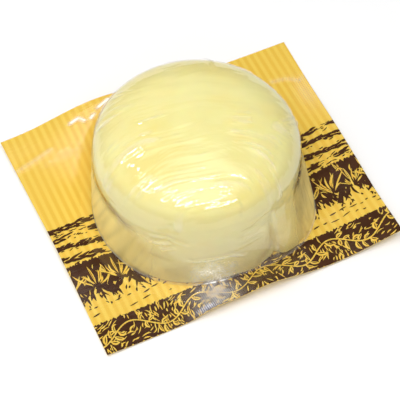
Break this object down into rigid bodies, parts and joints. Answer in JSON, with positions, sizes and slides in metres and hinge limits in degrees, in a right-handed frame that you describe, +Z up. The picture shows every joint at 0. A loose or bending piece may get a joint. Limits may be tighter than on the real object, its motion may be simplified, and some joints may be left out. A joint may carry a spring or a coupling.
{
  "type": "vacuum packed round cheese",
  "caption": "Round steamed curd cheese with a domed top, vacuum sealed under clear film on a rectangular printed backing sheet that lies flat.",
  "frame": {"origin": "on the table under the middle of the backing sheet's bounding box", "axes": "+X along the sheet's long side, to the right; +Y to the sheet's back edge; +Z up through the cheese"},
  "size_m": [0.1524, 0.126, 0.05],
  "materials": {
    "printed_film": "printed yellow film with fine stripes, glossy",
    "cheese_under_film": "pale yellow cheese seen through glossy clear film",
    "cheese": "smooth moist cream-yellow curd",
    "clear_film": "clear wrinkled glossy film",
    "dark_print": "dark brown printing ink under gloss film"
  },
  "bodies": {
    "root": {"printed_backing": "printed_film", "sealed_cheese": "cheese_under_film"}
  },
  "joints": []
}
